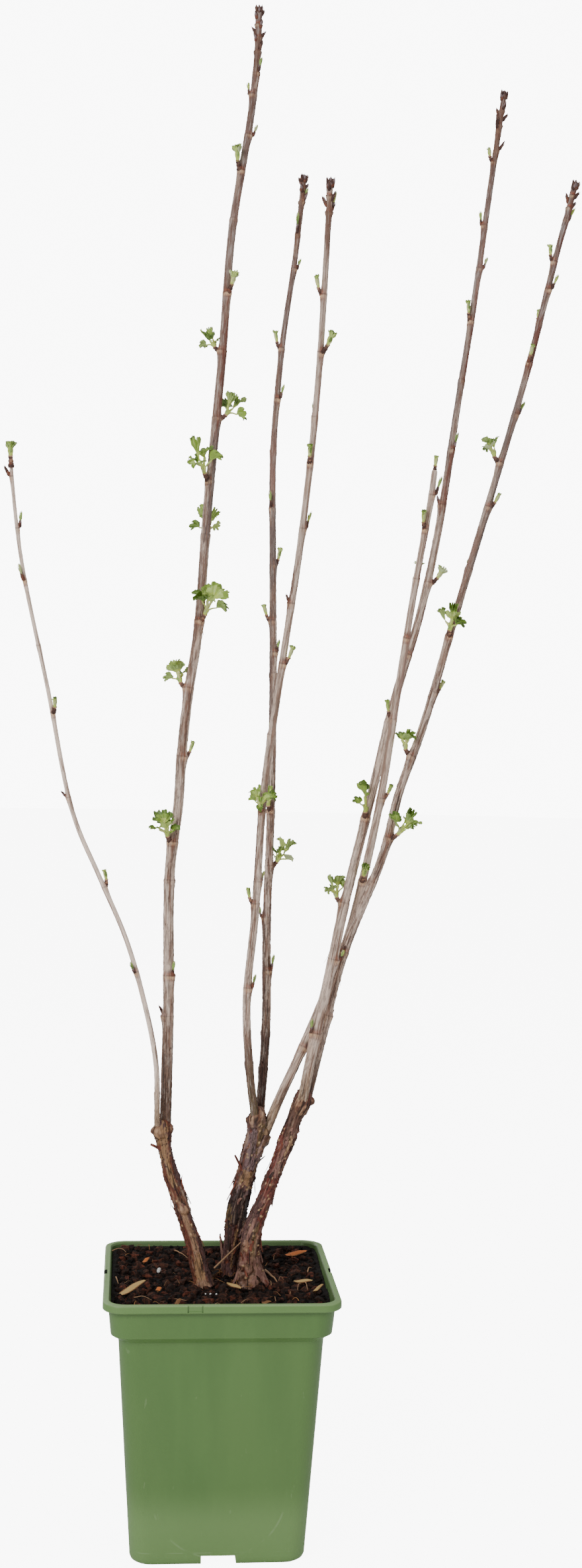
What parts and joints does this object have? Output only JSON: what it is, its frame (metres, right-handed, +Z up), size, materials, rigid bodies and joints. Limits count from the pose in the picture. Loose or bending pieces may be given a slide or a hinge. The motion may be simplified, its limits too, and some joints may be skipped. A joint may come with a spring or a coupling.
{
  "type": "potted red currant bush",
  "caption": "Young bush of tall bare canes with bursting buds and small leaf tufts in early spring, growing from compost in a square plastic pot.",
  "frame": {"origin": "centre of the pot's flat underside", "axes": "+Z up along the pot's axis and the canes; -Y towards the front of the picture; +X to its right"},
  "size_m": [0.468, 0.2276, 1.297],
  "materials": {
    "pot": "satin moulded polypropylene, sage green, with faint mottling",
    "soil": "coarse damp bark compost",
    "trunk": "old dark bark, peeling in strips",
    "cane": "smooth grey-beige bark with brown streaks",
    "leaf": "soft young leaves"
  },
  "bodies": {
    "root": {"cane_far_right": "cane", "cane_middle_back": "cane", "cane_middle_front": "cane", "cane_short_right": "cane", "cane_tall_left": "cane", "cane_tall_right": "cane", "cane_thin_left": "cane", "pot": "pot", "soil": "soil", "trunk_left": "trunk", "trunk_middle": "trunk", "trunk_right": "trunk", "tuft_far_right_01": "leaf", "tuft_far_right_02": "leaf", "tuft_far_right_03": "leaf", "tuft_far_right_04": "leaf", "tuft_far_right_05": "leaf", "tuft_far_right_06": "leaf", "tuft_far_right_07": "leaf", "tuft_far_right_08": "leaf", "tuft_far_right_09": "leaf", "tuft_middle_back_01": "leaf", "tuft_middle_back_02": "leaf", "tuft_middle_back_03": "leaf", "tuft_middle_back_04": "leaf", "tuft_middle_back_05": "leaf", "tuft_middle_front_01": "leaf", "tuft_middle_front_02": "leaf", "tuft_middle_front_03": "leaf", "tuft_middle_front_04": "leaf", "tuft_middle_front_05": "leaf", "tuft_middle_front_06": "leaf", "tuft_short_right_01": "leaf", "tuft_short_right_02": "leaf", "tuft_short_right_03": "leaf", "tuft_short_right_04": "leaf", "tuft_short_right_05": "leaf", "tuft_tall_left_01": "leaf", "tuft_tall_left_02": "leaf", "tuft_tall_left_03": "leaf", "tuft_tall_left_04": "leaf", "tuft_tall_left_05": "leaf", "tuft_tall_left_06": "leaf", "tuft_tall_left_07": "leaf", "tuft_tall_left_08": "leaf", "tuft_tall_left_09": "leaf", "tuft_tall_left_10": "leaf", "tuft_tall_right_01": "leaf", "tuft_tall_right_02": "leaf", "tuft_tall_right_03": "leaf", "tuft_tall_right_04": "leaf", "tuft_tall_right_05": "leaf", "tuft_tall_right_06": "leaf", "tuft_thin_left_01": "leaf", "tuft_thin_left_02": "leaf", "tuft_thin_left_end": "leaf"}
  },
  "joints": []
}
